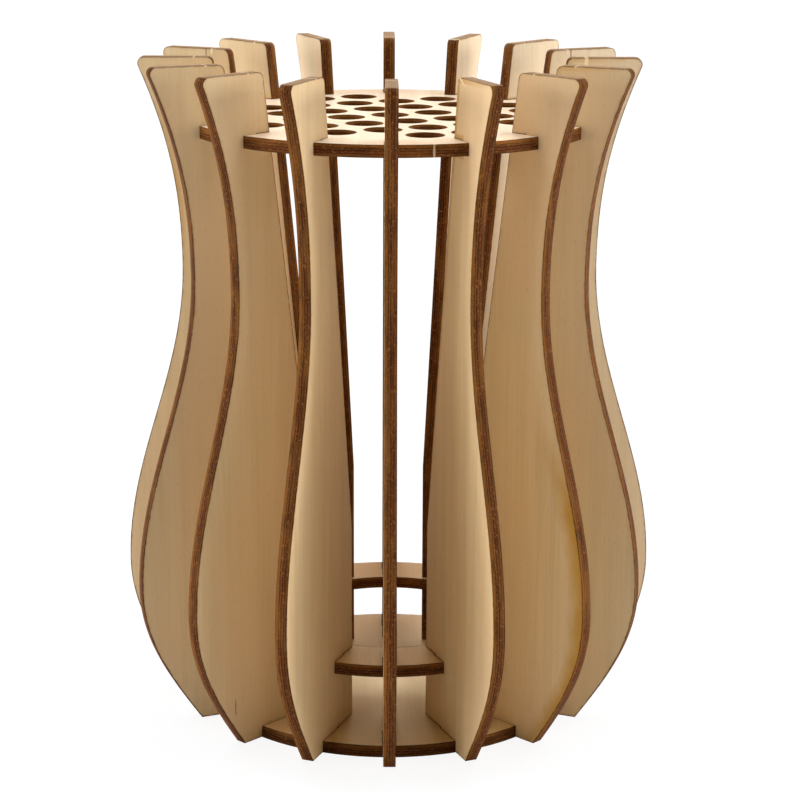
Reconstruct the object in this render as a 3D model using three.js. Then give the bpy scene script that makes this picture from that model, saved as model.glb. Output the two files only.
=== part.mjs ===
// A vase of interlocking plywood pieces: upright ribs stand in a ring like the sections of an orange,
// and three flat discs hold them. Ribs and discs are cut from one sheet and pushed together by hand,
// each slot in a rib over a slot in a disc, with no glue and no screws.
// Millimetres, +Z up. The origin is on the floor, on the vase's axis. The first rib faces -Y.
import * as THREE from 'three';

// The sheet that every piece is cut from, and how loosely the cut pieces fit each other.
const plyThickness = 4;
const slotClearance = 0.15; // free space on each side of a sheet in its slot
const seatClearance = 0.3; // free space between the ends of two slots that meet

// The ribs. Radii are measured from the vase's axis, heights from the floor.
const ribCount = 16;
const ribHeight = 220;
const footRadius = 69.2;
const bellyRadius = 89;
const bellyHeight = 48;
const waistRadius = 69;
const waistHeight = 151;
const lipRadius = 83.5;
const footFlare = 0.68; // outward lean of the edge at the foot, per unit of height
const lipFlare = 0.42; // outward lean of the edge at the lip, per unit of height
const curveTension = 0.36; // share of each stretch's height over which the edge keeps its direction
const cornerRadius = 2.2; // rounding of the two top corners

// The ribs' inner edge is upright to the taper's start, and leans outward from there to the top.
const innerRadius = 37;
const innerLipRadius = 58;
const taperHeight = 70;

// The discs. A grip is how far a disc runs outward past the ribs' inner edge.
const topDiscRecess = 19; // from the ribs' tops down to the top disc's upper face
const topDiscGrip = 11.4;
const ringHeight = 24; // floor to the middle ring's underside
const ringGrip = 15;
const ringWidth = 17; // rim to central hole
const baseDiscGrip = 24.7;

// The stem holes in the top disc: a square grid, turned by one bay, with a pair of holes outside each side.
const holeDiameter = 12;
const holeLand = 2; // from the outermost holes to the circle of the ribs' inner edges
const gridReach = 2; // rows on each side of the centre row

// Facets of the curved stretches.
const profileSteps = 16;
const cornerSteps = 5;
const rimSteps = 4;
const holeSides = 24;
const ringHoleSides = 64;

const origin = new THREE.Vector2(0, 0);
const bayAngle = (2 * Math.PI) / ribCount;
const slotWidth = plyThickness + 2 * slotClearance;
const topDiscHeight = ribHeight - topDiscRecess - plyThickness;

// Radius of the ribs' inner edge at a height.
function innerRadiusAt(height) {
  const lean = (innerLipRadius - innerRadius) / (ribHeight - taperHeight);
  return innerRadius + lean * Math.max(height - taperHeight, 0);
}

// A disc's radius, and the radius halfway along its overlap with the ribs, where the two slots meet.
function discAt(height, grip) {
  const innerEdge = innerRadiusAt(height + plyThickness / 2);
  return { height, radius: innerEdge + grip, meetingRadius: innerEdge + grip / 2 };
}

const topDisc = discAt(topDiscHeight, topDiscGrip);
const middleRing = discAt(ringHeight, ringGrip);
const baseDisc = discAt(0, baseDiscGrip);

// The arc that rounds a corner between the points before and after it, as a list of points.
function roundedCorner(before, corner, after, radius) {
  const back = before.clone().sub(corner).normalize();
  const ahead = after.clone().sub(corner).normalize();
  const halfAngle = Math.acos(back.dot(ahead)) / 2;
  const start = corner.clone().addScaledVector(back, radius / Math.tan(halfAngle));
  const end = corner.clone().addScaledVector(ahead, radius / Math.tan(halfAngle));
  const toCentre = back.clone().add(ahead).normalize();
  const centre = corner.clone().addScaledVector(toCentre, radius / Math.sin(halfAngle));
  const startAngle = start.clone().sub(centre).angle();
  const endAngle = end.clone().sub(centre).angle();
  const sweep = THREE.MathUtils.euclideanModulo(endAngle - startAngle, 2 * Math.PI);
  return arcPoints(centre, radius, startAngle, startAngle + sweep, cornerSteps);
}

function arcPoints(centre, radius, startAngle, endAngle, steps) {
  const arc = new THREE.ArcCurve(centre.x, centre.y, radius, startAngle, endAngle, false);
  return arc.getPoints(steps);
}

// One stretch of the rib's outer edge between two points, upright at its belly or waist end.
// A lean is the edge's outward slope at that end, per unit of height.
function profileStretch(start, startLean, end, endLean) {
  const handle = curveTension * (end.y - start.y);
  const startHandle = new THREE.Vector2(start.x + startLean * handle, start.y + handle);
  const endHandle = new THREE.Vector2(end.x - endLean * handle, end.y - handle);
  return new THREE.CubicBezierCurve(start, startHandle, endHandle, end).getPoints(profileSteps);
}

// The outer edge from the foot to where the rounded top corner starts: belly out, waist in, lip out.
function outerEdge(lipEnd) {
  const foot = new THREE.Vector2(footRadius, 0);
  const belly = new THREE.Vector2(bellyRadius, bellyHeight);
  const waist = new THREE.Vector2(waistRadius, waistHeight);
  return [
    ...profileStretch(foot, footFlare, belly, 0),
    ...profileStretch(belly, 0, waist, 0).slice(1),
    ...profileStretch(waist, 0, lipEnd, lipFlare).slice(1, -1),
  ];
}

// The slot in a rib's inner edge that takes a disc, from its upper corner to its lower one.
function ribSlot(disc) {
  const upper = disc.height + plyThickness + slotClearance;
  const lower = disc.height - slotClearance;
  const floor = disc.meetingRadius + seatClearance / 2;
  return [
    new THREE.Vector2(innerRadiusAt(upper), upper),
    new THREE.Vector2(floor, upper),
    new THREE.Vector2(floor, lower),
    new THREE.Vector2(innerRadiusAt(lower), lower),
  ];
}

// The base disc lies flush with the ribs' feet, so its slot is a notch that is open below.
function ribFootNotch() {
  const upper = plyThickness + slotClearance;
  const floor = baseDisc.meetingRadius + seatClearance / 2;
  return [
    new THREE.Vector2(innerRadius, upper),
    new THREE.Vector2(floor, upper),
    new THREE.Vector2(floor, 0),
  ];
}

// A rib's outline, with the radius along x and the height along y, anticlockwise from the foot.
function ribOutline() {
  const outerCorner = new THREE.Vector2(lipRadius, ribHeight);
  const innerCorner = new THREE.Vector2(innerLipRadius, ribHeight);
  const belowOuterCorner = new THREE.Vector2(lipRadius - lipFlare, ribHeight - 1);
  const taperStart = new THREE.Vector2(innerRadius, taperHeight);
  const outerRounding = roundedCorner(belowOuterCorner, outerCorner, innerCorner, cornerRadius);
  const innerRounding = roundedCorner(outerCorner, innerCorner, taperStart, cornerRadius);
  return new THREE.Shape([
    ...outerEdge(outerRounding[0]),
    ...outerRounding,
    ...innerRounding,
    ...ribSlot(topDisc),
    taperStart,
    ...ribSlot(middleRing),
    ...ribFootNotch(),
  ]);
}

// A disc's outline: the rim's arcs, with a slot running in from the rim at each rib.
function discOutline(disc) {
  const halfSlot = slotWidth / 2;
  const slotEdgeAngle = Math.asin(halfSlot / disc.radius);
  const floor = disc.meetingRadius - seatClearance / 2;
  const points = [];
  for (let rib = 0; rib < ribCount; rib++) {
    const ribAngle = rib * bayAngle;
    points.push(new THREE.Vector2(floor, -halfSlot).rotateAround(origin, ribAngle));
    points.push(new THREE.Vector2(floor, halfSlot).rotateAround(origin, ribAngle));
    const rimStart = ribAngle + slotEdgeAngle;
    const rimEnd = ribAngle + bayAngle - slotEdgeAngle;
    points.push(...arcPoints(origin, disc.radius, rimStart, rimEnd, rimSteps));
  }
  return new THREE.Shape(points);
}

function roundHole(centre, radius, sides) {
  return new THREE.Path(arcPoints(centre, radius, 0, 2 * Math.PI, sides).slice(0, -1));
}

// Centres of the stem holes. The pair outside each side of the grid is half a pitch off its rows.
function stemHoleCentres() {
  const outerRow = gridReach + 1;
  const reach = innerRadiusAt(topDiscHeight + plyThickness / 2) - holeLand - holeDiameter / 2;
  const pitch = reach / Math.hypot(outerRow, 0.5);
  const centres = [];
  for (let row = -gridReach; row <= gridReach; row++) {
    for (let column = -gridReach; column <= gridReach; column++) {
      centres.push(new THREE.Vector2(column * pitch, row * pitch));
    }
  }
  for (let side = 0; side < 4; side++) {
    for (const offset of [-0.5, 0.5]) {
      const centre = new THREE.Vector2(outerRow * pitch, offset * pitch);
      centres.push(centre.rotateAround(origin, (side * Math.PI) / 2));
    }
  }
  return centres.map((centre) => centre.rotateAround(origin, bayAngle));
}

// A flat piece of the sheet, cut to an outline.
function cutFromSheet(outline) {
  return new THREE.ExtrudeGeometry(outline, { depth: plyThickness, bevelEnabled: false });
}

function plyMaterial(color) {
  return new THREE.MeshStandardMaterial({ color, roughness: 0.65, metalness: 0 });
}

function makeRib(index) {
  const rib = new THREE.Mesh(cutFromSheet(ribOutline()), plyMaterial(0xcaa878));
  rib.name = `rib_${String(index + 1).padStart(2, '0')}`;
  rib.rotation.x = Math.PI / 2;
  rib.position.y = plyThickness / 2;
  const bay = new THREE.Group();
  bay.rotation.z = index * bayAngle - Math.PI / 2;
  bay.add(rib);
  return bay;
}

function makeDisc(name, disc, holes) {
  const outline = discOutline(disc);
  outline.holes.push(...holes);
  const mesh = new THREE.Mesh(cutFromSheet(outline), plyMaterial(0xe6d3a8));
  mesh.name = name;
  mesh.position.z = disc.height;
  mesh.rotation.z = -Math.PI / 2;
  return mesh;
}

const vase = new THREE.Group();
for (let index = 0; index < ribCount; index++) {
  vase.add(makeRib(index));
}

const stemHoles = stemHoleCentres().map((centre) => roundHole(centre, holeDiameter / 2, holeSides));
const ringHole = roundHole(origin, middleRing.radius - ringWidth, ringHoleSides);
vase.add(makeDisc('top_stem_disc', topDisc, stemHoles));
vase.add(makeDisc('middle_ring', middleRing, [ringHole]));
vase.add(makeDisc('base_disc', baseDisc, []));

export default vase;
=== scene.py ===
# A vase of nineteen laser-cut plywood pieces that slot together: sixteen upright ribs and three discs.
# Metres, +Z up. The origin is on the floor, on the vase's axis, and the first rib faces -Y.
import math
import bpy
from mathutils import Matrix, Vector


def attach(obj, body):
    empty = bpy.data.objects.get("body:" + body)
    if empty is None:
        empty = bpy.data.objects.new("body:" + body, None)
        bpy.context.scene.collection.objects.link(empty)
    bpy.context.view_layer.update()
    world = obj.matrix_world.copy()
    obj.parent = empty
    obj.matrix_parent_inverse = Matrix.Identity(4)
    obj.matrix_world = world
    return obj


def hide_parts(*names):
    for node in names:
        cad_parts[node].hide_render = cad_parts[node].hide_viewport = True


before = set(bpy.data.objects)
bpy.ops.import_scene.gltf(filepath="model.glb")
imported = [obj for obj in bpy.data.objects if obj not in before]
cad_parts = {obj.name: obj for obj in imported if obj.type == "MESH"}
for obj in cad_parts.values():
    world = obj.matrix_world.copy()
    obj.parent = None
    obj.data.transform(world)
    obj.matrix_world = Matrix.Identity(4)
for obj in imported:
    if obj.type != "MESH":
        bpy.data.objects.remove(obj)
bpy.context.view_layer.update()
bpy.ops.object.select_all(action="DESELECT")

# The camera
# It stands about three quarters of a metre in front of the vase, a little above it, and looks down at it
# slightly. Its place, turns and lens were fitted to the edges of the pieces in the photograph.
lens_length = 102.42  # millimetres
picture_width = 36  # millimetres
camera_place = Vector((-0.00479, -0.7472, 0.3033))
camera_heading = math.radians(-0.649)
camera_pitch = math.radians(75.061)  # 90 degrees is level
camera_roll = math.radians(0.251)

bpy.ops.object.camera_add(location=camera_place)
camera = bpy.context.object
camera.name = "camera"
camera.data.lens = lens_length
camera.data.sensor_width = picture_width
heading_turn = Matrix.Rotation(camera_heading, 3, "Z")
pitch_turn = Matrix.Rotation(camera_pitch, 3, "X")
roll_turn = Matrix.Rotation(camera_roll, 3, "Z")
camera.rotation_euler = (heading_turn @ pitch_turn @ roll_turn).to_euler()
bpy.context.scene.camera = camera


# The ribs
# Sixteen alike uprights, cut by laser from 4 mm birch plywood. Each has an S-shaped outer edge, and an
# inner edge with two slots and a foot notch. These push over the discs' slots and hold without glue.
mm = 0.001
ply_thickness = 4 * mm
slot_clearance = 0.03 * mm  # free space on each side of a sheet in its slot, which is a tight one
seat_clearance = 0.06 * mm  # free space between the ends of two slots that meet
rib_count = 16
rib_height = 220 * mm
foot_radius = 69.2 * mm
belly_radius = 89 * mm
belly_height = 48 * mm
waist_radius = 69 * mm
waist_height = 151 * mm
lip_radius = 83.5 * mm
foot_flare = 0.68  # outward lean of the edge at the foot, per unit of height
lip_flare = 0.42  # the same at the lip
curve_tension = 0.36  # share of each stretch's height over which the edge keeps its direction
corner_radius = 2.2 * mm
inner_radius = 37 * mm
inner_lip_radius = 58 * mm
taper_height = 70 * mm
inner_lean = (inner_lip_radius - inner_radius) / (rib_height - taper_height)

top_disc_recess = 19 * mm  # from the ribs' tops down to the top disc's upper face
top_disc_height = rib_height - top_disc_recess - ply_thickness
ring_height = 24 * mm  # floor to the middle ring's underside
top_disc_grip = 11.4 * mm  # how far a disc runs outward past the ribs' inner edge
ring_grip = 15 * mm
base_disc_grip = 24.7 * mm


def inner_radius_at(height):
    return inner_radius + inner_lean * max(height - taper_height, 0)


def disc_radius(height, grip):
    return inner_radius_at(height + ply_thickness / 2) + grip


# The length of the handles that make a stretch of a curve follow an arc.
def arc_handle(angle, radius):
    return 4 / 3 * math.tan(angle / 4) * radius


rib_outline = []  # the cutting path: each point with its handle before and after, or None for a sharp turn


def corner_at(radius, height):
    rib_outline.append((Vector((radius, height)), None, None))


def curve_point(radius, height, lean, below, above):
    place = Vector((radius, height))
    direction = Vector((lean, 1))
    handle_below = place - direction * below if below else None
    handle_above = place + direction * above if above else None
    rib_outline.append((place, handle_below, handle_above))


def rounded_corner(before, corner, after):
    to_before = (before - corner).normalized()
    to_after = (after - corner).normalized()
    half_angle = to_before.angle(to_after) / 2
    tangent = corner_radius / math.tan(half_angle)
    handle = arc_handle(math.pi - 2 * half_angle, corner_radius)
    start = corner + to_before * tangent
    end = corner + to_after * tangent
    return start, start - to_before * handle, end - to_after * handle, end


def slot_at(height, grip):
    upper = height + ply_thickness + slot_clearance
    lower = height - slot_clearance
    slot_floor = disc_radius(height, grip) - grip / 2 + seat_clearance / 2
    corner_at(inner_radius_at(upper), upper)
    corner_at(slot_floor, upper)
    corner_at(slot_floor, lower)
    corner_at(inner_radius_at(lower), lower)


outer_lip = Vector((lip_radius, rib_height))
inner_lip = Vector((inner_lip_radius, rib_height))
below_lip = outer_lip - Vector((lip_flare, 1))
taper_start = Vector((inner_radius, taper_height))
outer_start, outer_handle, outer_end_handle, outer_end = rounded_corner(below_lip, outer_lip, inner_lip)
inner_start, inner_handle, inner_end_handle, inner_end = rounded_corner(outer_lip, inner_lip, taper_start)
foot_handle = curve_tension * belly_height
body_handle = curve_tension * (waist_height - belly_height)
neck_handle = curve_tension * (outer_start.y - waist_height)

curve_point(foot_radius, 0, foot_flare, None, foot_handle)
curve_point(belly_radius, belly_height, 0, foot_handle, body_handle)
curve_point(waist_radius, waist_height, 0, body_handle, neck_handle)
rib_outline.append((outer_start, outer_start - Vector((lip_flare, 1)) * neck_handle, outer_handle))
rib_outline.append((outer_end, outer_end_handle, None))
rib_outline.append((inner_start, None, inner_handle))
rib_outline.append((inner_end, inner_end_handle, None))
slot_at(top_disc_height, top_disc_grip)
corner_at(inner_radius, taper_height)
slot_at(ring_height, ring_grip)
notch_floor = disc_radius(0, base_disc_grip) - base_disc_grip / 2 + seat_clearance / 2
corner_at(inner_radius, ply_thickness + slot_clearance)
corner_at(notch_floor, ply_thickness + slot_clearance)
corner_at(notch_floor, 0)
rib_curve_steps = 24  # points along each curved stretch of the rib's edge
merge_distance = 0.001 * mm
flat_facing = 0.95  # how much of a face's normal lies across the sheet, at least, on the sheet's own faces


def deselect_all():
    bpy.ops.object.select_all(action="DESELECT")


def draw_cutting_path(name, outline, steps):
    deselect_all()
    bpy.ops.curve.primitive_bezier_curve_add(location=(0, 0, 0))
    path = bpy.context.object
    path.name = name
    path.data.dimensions = "2D"
    path.data.fill_mode = "BOTH"
    path.data.extrude = ply_thickness / 2
    spline = path.data.splines[0]
    spline.use_cyclic_u = True
    spline.resolution_u = steps
    spline.bezier_points.add(len(outline) - len(spline.bezier_points))
    for point, (place, before, after) in zip(spline.bezier_points, outline):
        point.co = place.to_3d()
        point.handle_left_type = "FREE" if before else "VECTOR"
        point.handle_right_type = "FREE" if after else "VECTOR"
        if before:
            point.handle_left = before.to_3d()
        if after:
            point.handle_right = after.to_3d()
    return path


# Makes a solid of the path that was drawn last.
def cut_out():
    bpy.ops.object.convert(target="MESH")
    bpy.ops.object.mode_set(mode="EDIT")
    bpy.ops.mesh.select_all(action="SELECT")
    bpy.ops.mesh.remove_doubles(threshold=merge_distance)
    bpy.ops.mesh.normals_make_consistent()
    bpy.ops.object.mode_set(mode="OBJECT")


def select_flat_faces(piece, side):
    bpy.ops.object.mode_set(mode="EDIT")
    bpy.ops.mesh.select_mode(type="FACE")
    bpy.ops.mesh.select_all(action="DESELECT")
    bpy.ops.object.mode_set(mode="OBJECT")
    for face in piece.data.polygons:
        face.select = side * face.normal.z > flat_facing
    bpy.ops.object.mode_set(mode="EDIT")


def mark_selected(piece, attribute, value):
    bpy.ops.object.mode_set(mode="OBJECT")
    values = piece.data.attributes[attribute].data
    for vertex in piece.data.vertices:
        if vertex.select:
            values[vertex.index].value = value
    bpy.ops.object.mode_set(mode="EDIT")


# Takes the selected faces out with all the edges between them, and fills their border again.
def refill_selected():
    bpy.ops.mesh.delete(type="ONLY_FACE")
    bpy.ops.mesh.select_mode(type="EDGE")
    bpy.ops.mesh.select_all(action="DESELECT")
    bpy.ops.mesh.select_loose()
    bpy.ops.mesh.delete(type="EDGE")
    bpy.ops.mesh.select_non_manifold(
        use_wire=False, use_multi_face=False, use_non_contiguous=False, use_verts=False)
    bpy.ops.mesh.fill()
    bpy.ops.mesh.select_mode(type="FACE")


# What the laser leaves on a piece that lies flat, fresh from its outline: arrises that are sharp but not
# knife-sharp, a scorched cut edge, and a burn that fades out on each face within two millimetres of it.
# Each step of a burn has its width, and the share of the burn that is left at its far side.
narrow_burn = ((0.5 * mm, 0.5), (1.0 * mm, 0.0))
wide_burn = ((0.5 * mm, 0.55), (1.5 * mm, 0.0))
arris = 0.12 * mm
arris_angle = math.radians(60)  # faces that meet at a sharper turn than this get an arris
smooth_angle = math.radians(50)  # faces that meet at a lesser turn than this are shaded as one


# Writes on a piece how far each of its points lies from a mark, in half widths and depths of the mark.
def mark_spot(piece, spot, place, down, width, depth):
    from_spot = []
    for vertex in piece.data.vertices:
        offset = vertex.co.xy - place
        from_spot += (2 * offset.cross(down) / width, offset.dot(down) / depth, 1)
    piece.data.attributes.new(spot, "FLOAT_VECTOR", "POINT").data.foreach_set("vector", from_spot)


def mark_all(piece, attribute, value):
    values = [value] * len(piece.data.vertices)
    piece.data.attributes.new(attribute, "FLOAT", "POINT").data.foreach_set("value", values)


def finish_cut(piece, face_material, edge_material, burn_steps):
    mesh = piece.data
    mark_all(piece, "burn", 1.0)
    for side in (1, -1):
        select_flat_faces(piece, side)
        for width, burn in burn_steps:
            bpy.ops.mesh.inset(thickness=width, use_even_offset=True)
            mark_selected(piece, "burn", burn)
            refill_selected()
        bpy.ops.object.mode_set(mode="OBJECT")
    bevel = piece.modifiers.new("arris", "BEVEL")
    bevel.width = arris
    bevel.segments = 2
    bevel.limit_method = "ANGLE"
    bevel.angle_limit = arris_angle
    bpy.ops.object.modifier_apply(modifier="arris")
    bpy.ops.object.shade_smooth_by_angle(angle=smooth_angle)
    weighted = piece.modifiers.new("shading", "WEIGHTED_NORMAL")
    weighted.keep_sharp = True
    bpy.ops.object.modifier_apply(modifier="shading")
    depths = [2 * vertex.co.z / ply_thickness for vertex in mesh.vertices]
    mesh.attributes.new("depth", "FLOAT", "POINT").data.foreach_set("value", depths)
    sheet = mesh.uv_layers.new(name="sheet")
    for loop in mesh.loops:
        sheet.data[loop.index].uv = mesh.vertices[loop.vertex_index].co.xy
    mesh.materials.clear()
    mesh.materials.append(face_material)
    mesh.materials.append(edge_material)
    for face in mesh.polygons:
        face.material_index = 0 if abs(face.normal.z) > flat_facing else 1


def from_srgb(red, green, blue):
    def to_linear(value):
        value = value / 255
        return value / 12.92 if value <= 0.04045 else ((value + 0.055) / 1.055) ** 2.4
    return (to_linear(red), to_linear(green), to_linear(blue), 1)


def add_node(tree, kind, inputs=None, **settings):
    node = tree.nodes.new("ShaderNode" + kind)
    for name, value in settings.items():
        setattr(node, name, value)
    for socket, value in (inputs or {}).items():
        if isinstance(value, bpy.types.NodeSocket):
            tree.links.new(value, node.inputs[socket])
        else:
            node.inputs[socket].default_value = value
    return node


def read_attribute(tree, name):
    return add_node(tree, "Attribute", attribute_name=name).outputs["Fac"]


def place_on_vase(tree):
    return add_node(tree, "SeparateXYZ", {0: add_node(tree, "TexCoord").outputs["Object"]})


def calculate(tree, operation, first, second=0.0):
    return add_node(tree, "Math", {0: first, 1: second}, operation=operation).outputs[0]


def ramp_value(tree, value, low, high):
    inputs = {"Value": value, "From Min": low, "From Max": high}
    return add_node(tree, "MapRange", inputs, interpolation_type="SMOOTHSTEP").outputs[0]


# Sockets 6 and 7 of a Mix node take its two colours, and output 2 gives the mixed one.
def blend_colours(tree, factor, first, second):
    return add_node(tree, "Mix", {0: factor, 6: first, 7: second}, data_type="RGBA").outputs[2]


# Lays marks over a colour one after another. Each has its share of the surface, its strength and its colour.
def lay_marks(tree, colour, marks):
    for share, strength, mark_colour in marks:
        colour = blend_colours(tree, calculate(tree, "MULTIPLY", share, strength), colour, mark_colour)
    return colour


# Noise with so many grains to the metre along each direction of the place that it is given.
def stretched_noise(tree, place, grains, detail=2.0, distortion=0.0):
    mapped = add_node(tree, "Mapping", {"Vector": place, "Scale": grains}).outputs[0]
    inputs = {"Vector": mapped, "Scale": 1.0, "Detail": detail, "Distortion": distortion}
    return add_node(tree, "TexNoise", inputs).outputs[0]


# The same noise, swinging about zero.
def swinging_noise(tree, place, grains, detail=2.0):
    return calculate(tree, "SUBTRACT", stretched_noise(tree, place, grains, detail), 0.5)


def new_group(name, inputs, outputs):
    group = bpy.data.node_groups.new(name, "ShaderNodeTree")
    for socket, kind in inputs:
        group.interface.new_socket(socket, in_out="INPUT", socket_type="NodeSocket" + kind)
    for socket in outputs:
        group.interface.new_socket(socket, in_out="OUTPUT", socket_type="NodeSocketFloat")
    return group, group.nodes.new("NodeGroupInput"), group.nodes.new("NodeGroupOutput")


# The figure of rotary-cut birch, on a place in the sheet in metres with the grain along Y.
birch_figure, given, wanted = new_group(
    "birch_figure", [("Place", "Vector")], ["Streaks", "Blush", "Pores", "Relief"])
place = given.outputs["Place"]
wide_streaks = stretched_noise(birch_figure, place, (170, 7, 1), 3.0, 0.4)
fine_streaks = stretched_noise(birch_figure, place, (900, 26, 1), 3.0)
both_streaks = calculate(
    birch_figure, "ADD", wide_streaks, calculate(birch_figure, "MULTIPLY", fine_streaks, 0.6))
streaks = ramp_value(birch_figure, both_streaks, 0.4, 1.2)
clouds = stretched_noise(birch_figure, place, (26, 9, 1), 2.0, 0.8)
blush = ramp_value(birch_figure, clouds, 0.32, 0.7)
dashes = stretched_noise(birch_figure, place, (4200, 300, 1), 1.0)
pores = ramp_value(birch_figure, dashes, 0.66, 0.76)
relief = calculate(birch_figure, "SUBTRACT", fine_streaks, calculate(birch_figure, "MULTIPLY", pores, 0.8))
for socket, value in zip(wanted.inputs, (streaks, blush, pores, relief)):
    birch_figure.links.new(value, socket)

# What the laser's heat does to a face beside the cut: a dark line at the arris, a tan halo, and a golden
# stain where the smoke was caught.
laser_burn, given, wanted = new_group(
    "laser_burn", [("Place", "Vector"), ("Burn", "Float"), ("Smoke", "Float")], ["Line", "Halo", "Stain"])
place = given.outputs["Place"]
burn = given.outputs["Burn"]
wander = calculate(laser_burn, "MULTIPLY", swinging_noise(laser_burn, place, (420, 420, 1), 3.0), 0.5)
uneven_burn = calculate(laser_burn, "ADD", burn, wander)
line = ramp_value(laser_burn, uneven_burn, 0.56, 0.9)
patches = ramp_value(laser_burn, stretched_noise(laser_burn, place, (60, 60, 1), 2.0), 0.35, 0.7)
halo = calculate(laser_burn, "MULTIPLY", ramp_value(laser_burn, uneven_burn, 0.25, 0.9), patches)
steadier_burn = calculate(laser_burn, "ADD", burn, calculate(laser_burn, "MULTIPLY", wander, 0.3))
beside_cut = ramp_value(laser_burn, steadier_burn, 0.0, 0.35)
stain = calculate(laser_burn, "MULTIPLY", beside_cut, given.outputs["Smoke"])
for socket, value in zip(wanted.inputs, (line, halo, stain)):
    laser_burn.links.new(value, socket)

# A small ragged mark in the wood. The first two parts of From Mark say how many half widths and depths of
# the mark a point lies away from it, and the third is 1 on a piece that has the mark and 0 on the others.
ragged_mark, given, wanted = new_group(
    "ragged_mark", [("Place", "Vector"), ("From Mark", "Vector")], ["Mark"])
parts = add_node(ragged_mark, "SeparateXYZ", {0: given.outputs["From Mark"]})
flat = add_node(ragged_mark, "CombineXYZ", {0: parts.outputs[0], 1: parts.outputs[1]}).outputs[0]
distance = add_node(ragged_mark, "VectorMath", {0: flat}, operation="LENGTH").outputs["Value"]
fibres = swinging_noise(ragged_mark, given.outputs["Place"], (1800, 500, 900), 2.0)
ragged = calculate(ragged_mark, "ADD", distance, calculate(ragged_mark, "MULTIPLY", fibres, 1.2))
within = calculate(ragged_mark, "MULTIPLY", ramp_value(ragged_mark, ragged, 1.1, 0.8), parts.outputs[2])
ragged_mark.links.new(within, wanted.inputs[0])


def marked_share(tree, place, spot):
    from_mark = add_node(tree, "Attribute", attribute_name=spot).outputs["Vector"]
    mark = add_node(tree, "Group", node_tree=ragged_mark)
    tree.links.new(place, mark.inputs["Place"])
    tree.links.new(from_mark, mark.inputs["From Mark"])
    return mark.outputs["Mark"]


# The soot that hangs along the outer edge of the belly. Close to the belly the edge is almost a parabola,
# which bends more sharply below it than above.
soot_width = 8 * mm
soot_reach = 64 * mm  # how far the soot runs along the edge, up and down
bend_below = (belly_radius - foot_radius) / belly_height ** 2
bend_above = (belly_radius - waist_radius) / (3 * body_handle ** 2)


def belly_soot(tree, place):
    here = place_on_vase(tree)
    level = add_node(tree, "CombineXYZ", {0: here.outputs[0], 1: here.outputs[1]}).outputs[0]
    radius = add_node(tree, "VectorMath", {0: level}, operation="LENGTH").outputs["Value"]
    above = calculate(tree, "SUBTRACT", here.outputs[2], belly_height)
    from_belly = calculate(tree, "ABSOLUTE", above)
    lower_bend = calculate(tree, "MULTIPLY", calculate(tree, "LESS_THAN", above), bend_below)
    upper_bend = calculate(tree, "MULTIPLY", calculate(tree, "GREATER_THAN", above), bend_above)
    bend = calculate(tree, "ADD", lower_bend, upper_bend)
    drawn_in = calculate(tree, "MULTIPLY", calculate(tree, "POWER", from_belly, 2.0), bend)
    edge = calculate(tree, "SUBTRACT", belly_radius, drawn_in)
    inside = calculate(tree, "SUBTRACT", edge, radius)
    wander = swinging_noise(tree, place, (260, 110, 1), 3.0)
    inside = calculate(tree, "ADD", inside, calculate(tree, "MULTIPLY", wander, soot_width / 2))
    across = ramp_value(tree, inside, soot_width, 0.0)
    along = ramp_value(tree, from_belly, soot_reach, soot_reach / 2)
    soot = calculate(tree, "MULTIPLY", across, along)
    return calculate(tree, "MULTIPLY", soot, read_attribute(tree, "soot"))


# The flat face of a piece, in the sheet's own pale, deep and rosy colours. The dark line beside the cut is
# stronger low on the vase than high on it.
line_strength_low = 0.95
line_strength_high = 0.6


def birch_face(name, pale, deep, rosy):
    material = bpy.data.materials.new(name)
    material.use_nodes = True
    tree = material.node_tree
    shader = tree.nodes["Principled BSDF"]
    place = add_node(tree, "UVMap", uv_map="sheet").outputs[0]
    figure = add_node(tree, "Group", node_tree=birch_figure)
    tree.links.new(place, figure.inputs["Place"])
    heat = add_node(tree, "Group", node_tree=laser_burn)
    tree.links.new(place, heat.inputs["Place"])
    tree.links.new(read_attribute(tree, "burn"), heat.inputs["Burn"])
    tree.links.new(read_attribute(tree, "smoke"), heat.inputs["Smoke"])
    wood = blend_colours(tree, figure.outputs["Streaks"], pale, deep)
    wood = lay_marks(tree, wood, [(figure.outputs["Blush"], 0.8, rosy)])
    # The tone and fade are partly each piece's own differences and partly painted light and shade.
    brightness = calculate(tree, "ADD", read_attribute(tree, "tone_and_painted_light"), 1.0)
    saturation = calculate(tree, "SUBTRACT", 1.0, read_attribute(tree, "fade_and_painted_light"))
    toned = {"Color": wood, "Value": brightness, "Saturation": saturation}
    wood = add_node(tree, "HueSaturation", toned).outputs[0]
    height = place_on_vase(tree).outputs[2]
    by_height = {"From Max": rib_height, "To Min": line_strength_low, "To Max": line_strength_high}
    line_strength = add_node(tree, "MapRange", {"Value": height, **by_height}).outputs[0]
    wood = lay_marks(tree, wood, [
        (figure.outputs["Pores"], 0.3, from_srgb(128, 88, 54)),
        (marked_share(tree, place, "crack"), 1.0, from_srgb(96, 62, 36)),
        (heat.outputs["Stain"], 1.0, from_srgb(202, 160, 88)),
        (belly_soot(tree, place), 0.95, from_srgb(182, 136, 48)),
        (heat.outputs["Halo"], 0.5, from_srgb(186, 132, 68)),
        (heat.outputs["Line"], line_strength, from_srgb(74, 42, 16)),
        (marked_share(tree, place, "tab"), 1.0, from_srgb(240, 216, 176)),
    ])
    tree.links.new(wood, shader.inputs["Base Color"])
    roughness_range = {"Value": figure.outputs["Streaks"], "To Min": 0.5, "To Max": 0.66}
    tree.links.new(add_node(tree, "MapRange", roughness_range).outputs[0], shader.inputs["Roughness"])
    grain = {"Height": figure.outputs["Relief"], "Strength": 0.25, "Distance": 0.05 * mm}
    tree.links.new(add_node(tree, "Bump", grain).outputs[0], shader.inputs["Normal"])
    shader.inputs["Specular IOR Level"].default_value = 0.22
    return material
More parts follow.
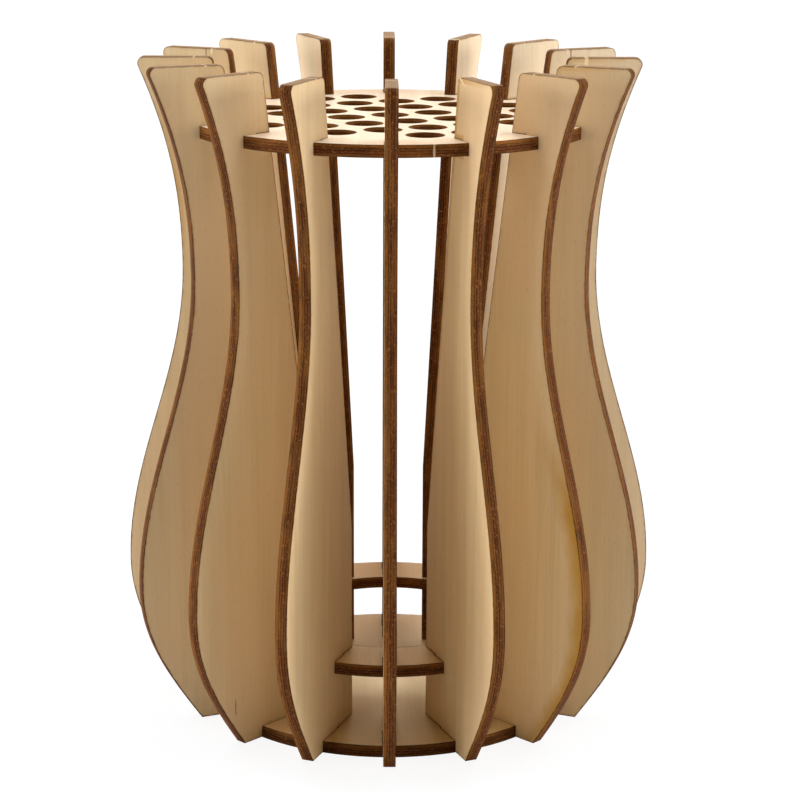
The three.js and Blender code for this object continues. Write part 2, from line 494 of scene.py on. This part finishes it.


# The cut edge: thin veneers with dark glue lines between them, browned, charred and grooved by the laser.
# Painted sheen on the ribs' top edges and painted shade on the base's cut edge are laid over it.
# The layers run from the face that lay down under the laser, at 0, to the one that lay up, at 1.
edge_layers = [
    (0.00, from_srgb(46, 27, 13)),
    (0.06, from_srgb(84, 49, 23)),
    (0.15, from_srgb(104, 61, 30)),
    (0.22, from_srgb(93, 51, 26)),
    (0.27, from_srgb(48, 23, 11)),
    (0.34, from_srgb(98, 54, 26)),
    (0.44, from_srgb(92, 47, 22)),
    (0.51, from_srgb(44, 20, 9)),
    (0.58, from_srgb(103, 60, 28)),
    (0.63, from_srgb(118, 73, 35)),
    (0.69, from_srgb(58, 30, 13)),
    (0.77, from_srgb(117, 69, 29)),
    (0.90, from_srgb(131, 82, 34)),
    (0.96, from_srgb(111, 67, 28)),
    (1.00, from_srgb(62, 38, 17)),
]
layer_wander = 0.3  # how far the layers wander, as a share of half the sheet's thickness
edge_crown = 0.3 * mm  # how far the light makes the middle of a cut edge stand out past its arrises
groove_height = 0.02 * mm
painted_sheen_top = 0.3 * mm  # painted sheen: the ribs' top edges are painted paler, down to this far below them, for the light they catch from above


def scorched_edge_and_painted_light(name):
    material = bpy.data.materials.new(name)
    material.use_nodes = True
    tree = material.node_tree
    shader = tree.nodes["Principled BSDF"]
    along = add_node(tree, "UVMap", uv_map="sheet").outputs[0]
    depth = read_attribute(tree, "depth")
    through = calculate(tree, "MULTIPLY", depth, ply_thickness / 2)
    across = add_node(tree, "CombineXYZ", {"Z": through}).outputs[0]
    place = add_node(tree, "VectorMath", {0: along, 1: across}, operation="ADD").outputs[0]
    wander = calculate(tree, "MULTIPLY", swinging_noise(tree, along, (160, 160, 1), 2.0), layer_wander)
    level = {"Value": calculate(tree, "ADD", depth, wander), "From Min": -1.0}
    layers = add_node(tree, "ValToRGB", {"Fac": add_node(tree, "MapRange", level).outputs[0]})
    ramp = layers.color_ramp
    for position, colour in edge_layers[1:-1]:
        ramp.elements.new(position)
    for element, (position, colour) in zip(ramp.elements, edge_layers):
        element.position = position
        element.color = colour
    char = ramp_value(tree, stretched_noise(tree, place, (140, 140, 1300), 3.0), 0.48, 0.68)
    browning = ramp_value(tree, stretched_noise(tree, place, (50, 50, 400), 3.0), 0.45, 0.75)
    flecks = ramp_value(tree, stretched_noise(tree, place, (1100, 1100, 2200), 2.0), 0.56, 0.7)
    height = place_on_vase(tree).outputs[2]
    colour = lay_marks(tree, layers.outputs[0], [
        (char, 0.55, from_srgb(40, 22, 9)),
        (browning, 0.45, from_srgb(146, 97, 44)),
        (flecks, 0.5, from_srgb(166, 104, 52)),
        # Painted sheen: the ribs' top edges are painted paler, for the light they catch from above.
        (ramp_value(tree, height, rib_height - painted_sheen_top, rib_height), 0.35, from_srgb(190, 158, 112)),
        # Painted shade: the base's cut edge is darkened, low in the vase by the floor.
        (read_attribute(tree, "painted_edge_shade"), 1.0, from_srgb(32, 18, 8)),
        (marked_share(tree, place, "tab"), 0.8, from_srgb(206, 178, 144)),
    ])
    tree.links.new(colour, shader.inputs["Base Color"])
    grooves = stretched_noise(tree, place, (1500, 1500, 240), 3.0)
    rounding = calculate(tree, "MULTIPLY", calculate(tree, "POWER", depth, 2.0), -edge_crown)
    relief = calculate(tree, "ADD", rounding, calculate(tree, "MULTIPLY", grooves, groove_height))
    bump = add_node(tree, "Bump", {"Height": relief, "Strength": 1.0, "Distance": 1.0})
    tree.links.new(bump.outputs[0], shader.inputs["Normal"])
    roughness_range = {"Value": grooves, "To Min": 0.5, "To Max": 0.8}
    tree.links.new(add_node(tree, "MapRange", roughness_range).outputs[0], shader.inputs["Roughness"])
    shader.inputs["Specular IOR Level"].default_value = 0.1
    shader.inputs["Specular Tint"].default_value = (1.0, 0.78, 0.35, 1)
    return material


rib_face = birch_face(
    "birch_face", from_srgb(224, 201, 160), from_srgb(207, 183, 139), from_srgb(222, 190, 147))
cut_edge = scorched_edge_and_painted_light("scorched_edge_and_painted_light")

rib = draw_cutting_path("rib", rib_outline, rib_curve_steps)
cut_out()
finish_cut(rib, rib_face, cut_edge, wide_burn)

# Where smoke was caught under a rib and stained it: the rib's number, then the radius and height of the
# stain's middle, how far it reaches up and down, and how dark it is.
smoke_stains = {
    2: (inner_lip_radius, 205 * mm, 90 * mm, 1.0),
    4: (inner_lip_radius, rib_height, 20 * mm, 0.5),
    5: (inner_lip_radius, rib_height, 40 * mm, 0.5),
    6: (belly_radius, 70 * mm, 45 * mm, 0.7),
    8: (waist_radius, 150 * mm, 50 * mm, 0.7),
    11: (inner_radius, 60 * mm, 60 * mm, 0.7),
    13: (waist_radius, 180 * mm, 40 * mm, 0.7),
}
stain_width = 14 * mm  # on each side of its middle
sooty_ribs = (3, 12)

# Each rib comes from another part of the sheet. These are paler or darker than the rest by a share of their
# brightness, or greyer by a share of their colour's strength: partly the sheet's own differences, and partly
# painted light and shade, set to match the light that falls on each rib where it stands.
tones_and_painted_light = {2: 0.12, 3: -0.04, 4: -0.04, 8: 0.14, 10: 0.1, 12: -0.03, 14: -0.04, 15: -0.03, 16: 0.07}
fades_and_painted_light = {5: 0.12, 6: 0.22, 7: 0.21, 8: 0.2, 10: 0.14}


def stain_rib(rib, radius, height, reach, darkness):
    smoke = []
    for vertex in rib.data.vertices:
        across = (vertex.co.x - radius) / stain_width
        along = (vertex.co.y - height) / reach
        smoke.append(darkness * max(1 - math.hypot(across, along), 0))
    rib.data.attributes.new("smoke", "FLOAT", "POINT").data.foreach_set("value", smoke)


# Each rib was last held to the sheet by a thin tab at its top edge, which left a torn mark when it snapped.
# A mark's radius, width and depth, and how far it leans outward for its depth, follow the rib's number
# where they aren't the usual ones.
usual_tab = (64 * mm, 0.7 * mm, 0.6 * mm, 0)
torn_tabs = {
    2: (58.8 * mm, 0.9 * mm, 5.8 * mm, 1.8),
    5: (64 * mm, 1.2 * mm, 4.5 * mm, 0),
    6: (64 * mm, 0.6 * mm, 1.6 * mm, 0),
    8: (59.5 * mm, 1.2 * mm, 1.2 * mm, 0),
    12: (64 * mm, 0.7 * mm, 2.4 * mm, 0),
}

# Fine cracks along the grain: the rib's number, then the crack's radius, height and half length.
cracks = {
    6: (65.2 * mm, 219 * mm, 2.6 * mm),
    12: (66.1 * mm, 219 * mm, 3.4 * mm),
    15: (73 * mm, 14 * mm, 3 * mm),
}
crack_width = 0.35 * mm
downward = Vector((0, -1))
rib_spacing = Vector((0.137, 0.311))  # metres in the sheet from one rib's figure to the next one's


def move_in_sheet(piece, shift):
    for corner in piece.data.uv_layers["sheet"].data:
        corner.uv = corner.uv + shift


for number in range(1, rib_count + 1):
    deselect_all()
    rib.select_set(True)
    bpy.context.view_layer.objects.active = rib
    bpy.ops.object.duplicate()
    copy = bpy.context.object
    copy.name = f"plywood_rib_{number:02d}"
    copy.data.name = copy.name
    tab_radius, tab_width, tab_depth, tab_lean = torn_tabs.get(number, usual_tab)
    tab_direction = Vector((tab_lean, -1)).normalized()
    mark_spot(copy, "tab", Vector((tab_radius, rib_height)), tab_direction, tab_width, tab_depth)
    if number in cracks:
        crack_radius, crack_height, crack_reach = cracks[number]
        mark_spot(copy, "crack", Vector((crack_radius, crack_height)), downward, crack_width, crack_reach)
    if number in smoke_stains:
        stain_rib(copy, *smoke_stains[number])
    if number in sooty_ribs:
        mark_all(copy, "soot", 1.0)
    mark_all(copy, "tone_and_painted_light", tones_and_painted_light.get(number, 0.0))
    mark_all(copy, "fade_and_painted_light", fades_and_painted_light.get(number, 0.0))
    copy.rotation_euler = (math.pi / 2, 0, math.radians(360 / rib_count * (number - 1) - 90))
    bpy.ops.object.transform_apply(location=False, rotation=True, scale=False)
    move_in_sheet(copy, rib_spacing * number)
    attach(copy, "root")
    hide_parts(f"rib_{number:02d}")
bpy.data.objects.remove(rib)


# The top disc
# A round disc of the same plywood, pierced with 33 round holes that hold the stems apart. Sixteen slots
# in its rim push over the ribs' upper slots.
hole_diameter = 12 * mm
hole_land = 2 * mm  # from the outermost holes to the circle of the ribs' inner edges
grid_reach = 2  # rows of holes on each side of the centre row
bay_angle = 2 * math.pi / rib_count
rim_curve_steps = 10
hole_curve_steps = 16
top_disc_tab_bay = 12  # the bay whose rim has the torn mark of a snapped tab
top_disc_in_sheet = Vector((1.7, 0.4))  # where in the sheet the disc was cut, in metres


def cut_disc(name, grip, height, holes):
    radius = disc_radius(height, grip)
    slot_floor = radius - grip / 2 - seat_clearance / 2
    half_slot = ply_thickness / 2 + slot_clearance
    slot_edge_angle = math.asin(half_slot / radius)
    rim_handle = arc_handle(bay_angle - 2 * slot_edge_angle, radius)
    rim_start = Vector((math.cos(slot_edge_angle), math.sin(slot_edge_angle))) * radius
    rim_end = Matrix.Rotation(bay_angle, 2) @ Vector((rim_start.x, -rim_start.y))
    one_bay = [
        (Vector((slot_floor, -half_slot)), None, None),
        (Vector((slot_floor, half_slot)), None, None),
        (rim_start, None, rim_start + rim_start.orthogonal().normalized() * rim_handle),
        (rim_end, rim_end - rim_end.orthogonal().normalized() * rim_handle, None),
    ]
    outline = []
    for bay in range(rib_count):
        turn = Matrix.Rotation(bay * bay_angle, 2)
        for place, before, after in one_bay:
            outline.append((turn @ place, before and turn @ before, after and turn @ after))
    disc = draw_cutting_path(name, outline, rim_curve_steps)
    bpy.ops.object.mode_set(mode="EDIT")
    for centre, hole_radius, steps in holes:
        bpy.ops.curve.primitive_bezier_circle_add(radius=hole_radius, location=centre.to_3d())
        disc.data.splines[-1].resolution_u = steps
    bpy.ops.object.mode_set(mode="OBJECT")
    cut_out()
    return disc


disc_tab_size = 0.7 * mm


def mark_rim(disc, radius, bay):
    outward = Matrix.Rotation((bay + 0.5) * bay_angle, 2) @ Vector((1, 0))
    mark_spot(disc, "tab", outward * radius, -outward, disc_tab_size, disc_tab_size)


def seat_disc(disc, height, place_in_sheet, node):
    move_in_sheet(disc, place_in_sheet)
    disc.location.z = height + ply_thickness / 2
    bpy.ops.object.transform_apply(location=True, rotation=False, scale=False)
    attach(disc, "root")
    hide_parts(node)


hole_reach = inner_radius_at(top_disc_height + ply_thickness / 2) - hole_land - hole_diameter / 2
hole_pitch = hole_reach / math.hypot(grid_reach + 1, 0.5)
hole_places = []
for row in range(-grid_reach, grid_reach + 1):
    for column in range(-grid_reach, grid_reach + 1):
        hole_places.append(Vector((column, row)) * hole_pitch)
for side in range(4):
    side_turn = Matrix.Rotation(side * math.pi / 2, 2)
    for offset in (-0.5, 0.5):
        hole_places.append(side_turn @ Vector((grid_reach + 1, offset)) * hole_pitch)
grid_turn = Matrix.Rotation(bay_angle, 2)
stem_holes = [(grid_turn @ place, hole_diameter / 2, hole_curve_steps) for place in hole_places]

top_disc = cut_disc("plywood_top_disc", top_disc_grip, top_disc_height, stem_holes)
# Painted light: the top disc's face gets paler colours than the ribs of the same plywood, for the light that
# falls on it from above.
painted_light_disc_face = birch_face(
    "birch_disc_face_painted_light", from_srgb(237, 216, 183), from_srgb(227, 203, 168), from_srgb(236, 209, 176))
finish_cut(top_disc, painted_light_disc_face, cut_edge, narrow_burn)
mark_rim(top_disc, disc_radius(top_disc_height, top_disc_grip), top_disc_tab_bay)
seat_disc(top_disc, top_disc_height, top_disc_in_sheet, "top_stem_disc")


# The middle ring
# A flat ring of plywood of a slightly yellower sheet, which spaces the ribs low in the vase and lets the
# stems through. It slots into the ribs as the top disc does.
ring_width = 17 * mm  # rim to central hole
ring_hole_curve_steps = 32
ring_tab_bay = 15
ring_in_sheet = Vector((2.3, 0.9))
ring_tone = 0.08

ring_hole_radius = disc_radius(ring_height, ring_grip) - ring_width
ring_hole = [(Vector((0, 0)), ring_hole_radius, ring_hole_curve_steps)]
ring = cut_disc("plywood_middle_ring", ring_grip, ring_height, ring_hole)
low_disc_face = birch_face(
    "birch_low_disc_face", from_srgb(232, 208, 160), from_srgb(221, 195, 147), from_srgb(230, 196, 152))
finish_cut(ring, low_disc_face, cut_edge, wide_burn)
mark_rim(ring, disc_radius(ring_height, ring_grip), ring_tab_bay)
mark_all(ring, "tone_and_painted_light", ring_tone)
seat_disc(ring, ring_height, ring_in_sheet, "middle_ring")


# The base disc
# A plain round disc of the same sheet as the ring, level with the ribs' feet, which closes the bottom of the
# vase. Its cut edge is painted darker than the others, as painted shade low by the floor.
base_tab_bay = 2
base_in_sheet = Vector((3.1, 1.3))
base_tone = -0.06
# painted shade on the base's cut edge
base_edge_painted_shade = 0.35

base = cut_disc("plywood_base_disc", base_disc_grip, 0, [])
finish_cut(base, low_disc_face, cut_edge, wide_burn)
mark_rim(base, disc_radius(0, base_disc_grip), base_tab_bay)
mark_all(base, "tone_and_painted_light", base_tone)
mark_all(base, "painted_edge_shade", base_edge_painted_shade)
seat_disc(base, 0, base_in_sheet, "base_disc")


# The floor
# A white table top that runs out of the picture. The camera sees it glow white away from the vase, and a
# little of the lit white surface, with the vase's shadow on it, close by.
floor_size = 14  # metres
floor_drop = 0.2 * mm
floor_colour = (0.85, 0.85, 0.85, 1)
floor_glow = 1.05  # where 1 is white
glow_share_near = 0.85
near_vase = 0.08  # metres from the vase's axis at which the glow starts to grow
far_from_vase = 0.45  # and at which nothing but the glow is left

deselect_all()
bpy.ops.mesh.primitive_plane_add(size=floor_size, location=(0, 0, -floor_drop))
floor = bpy.context.object
floor.name = "floor"
bpy.ops.object.transform_apply(location=True, rotation=False, scale=False)
white_top = bpy.data.materials.new("white_top")
white_top.use_nodes = True
tree = white_top.node_tree
shader = tree.nodes["Principled BSDF"]
shader.inputs["Base Color"].default_value = floor_colour
shader.inputs["Roughness"].default_value = 0.9
shader.inputs["Specular IOR Level"].default_value = 0.0
glow = add_node(tree, "Emission", {"Strength": floor_glow})
seen = add_node(tree, "LightPath").outputs["Is Camera Ray"]
on_floor = add_node(tree, "TexCoord").outputs["Object"]
from_vase = add_node(tree, "VectorMath", {0: on_floor}, operation="LENGTH").outputs["Value"]
glow_range = {"From Min": near_vase, "From Max": far_from_vase, "To Min": glow_share_near}
glow_share = add_node(tree, "MapRange", {"Value": from_vase, **glow_range}).outputs[0]
seen_glow = calculate(tree, "MULTIPLY", seen, glow_share)
mixed = add_node(tree, "MixShader", {0: seen_glow, 1: shader.outputs[0], 2: glow.outputs[0]})
tree.links.new(mixed.outputs[0], tree.nodes["Material Output"].inputs[0])
floor.data.materials.append(white_top)


# The backdrop and the lamps
# The camera sees a plain white room, which gives the vase hardly any light. Soft boxes low at both sides,
# above and behind give it: slightly warm from the sides and from behind, and slightly cool from above.
room_light = 0.02
lamp_distance = 1.7
lamp_size = 0.75
lamp_aim = Vector((0, 0, 0.1))
right_light = (1.0, 0.97, 0.92)
left_light = (1.0, 0.97, 0.94)
high_light = (0.96, 0.99, 1.09)
back_light = (1.0, 0.91, 0.79)
soft_boxes = [  # name, bearing and height in degrees as seen from the vase, power in watts, and colour
    ("light_right", -15, 8, 18, right_light),
    ("light_front_right", -40, 8, 4, right_light),
    ("light_left", -165, 8, 13, left_light),
    ("light_front_left", -140, 8, 5.2, left_light),
    ("light_above_right", 0, 65, 10.6, high_light),
    ("light_above_left", 180, 65, 12, high_light),
    ("light_back_right", 30, 35, 9.2, high_light),
    ("light_back_left", 150, 35, 6.8, high_light),
    ("light_back", 90, 35, 9.6, back_light),
    ("light_low_back", 90, 8, 4, back_light),
]

world = bpy.data.worlds.new("studio")
bpy.context.scene.world = world
world.use_nodes = True
tree = world.node_tree
room = tree.nodes["Background"]
room.inputs["Color"].default_value = (1, 1, 1, 1)
room.inputs["Strength"].default_value = room_light
backdrop = add_node(tree, "Background", {"Color": (1, 1, 1, 1), "Strength": 1.0})
seen = add_node(tree, "LightPath").outputs["Is Camera Ray"]
mixed = add_node(tree, "MixShader", {0: seen, 1: room.outputs[0], 2: backdrop.outputs[0]})
tree.links.new(mixed.outputs[0], tree.nodes["World Output"].inputs[0])

for name, bearing, height, power, colour in soft_boxes:
    level_towards = Vector((math.cos(math.radians(bearing)), math.sin(math.radians(bearing)), 0))
    upward = Vector((0, 0, math.sin(math.radians(height))))
    towards = level_towards * math.cos(math.radians(height)) + upward
    bpy.ops.object.light_add(type="AREA", location=lamp_aim + towards * lamp_distance)
    lamp = bpy.context.object
    lamp.name = name
    lamp.data.size = lamp_size
    lamp.data.energy = power
    lamp.data.color = colour
    lamp.rotation_euler = (-towards).to_track_quat("-Z", "Y").to_euler()

bpy.context.scene.view_settings.view_transform = "Standard"
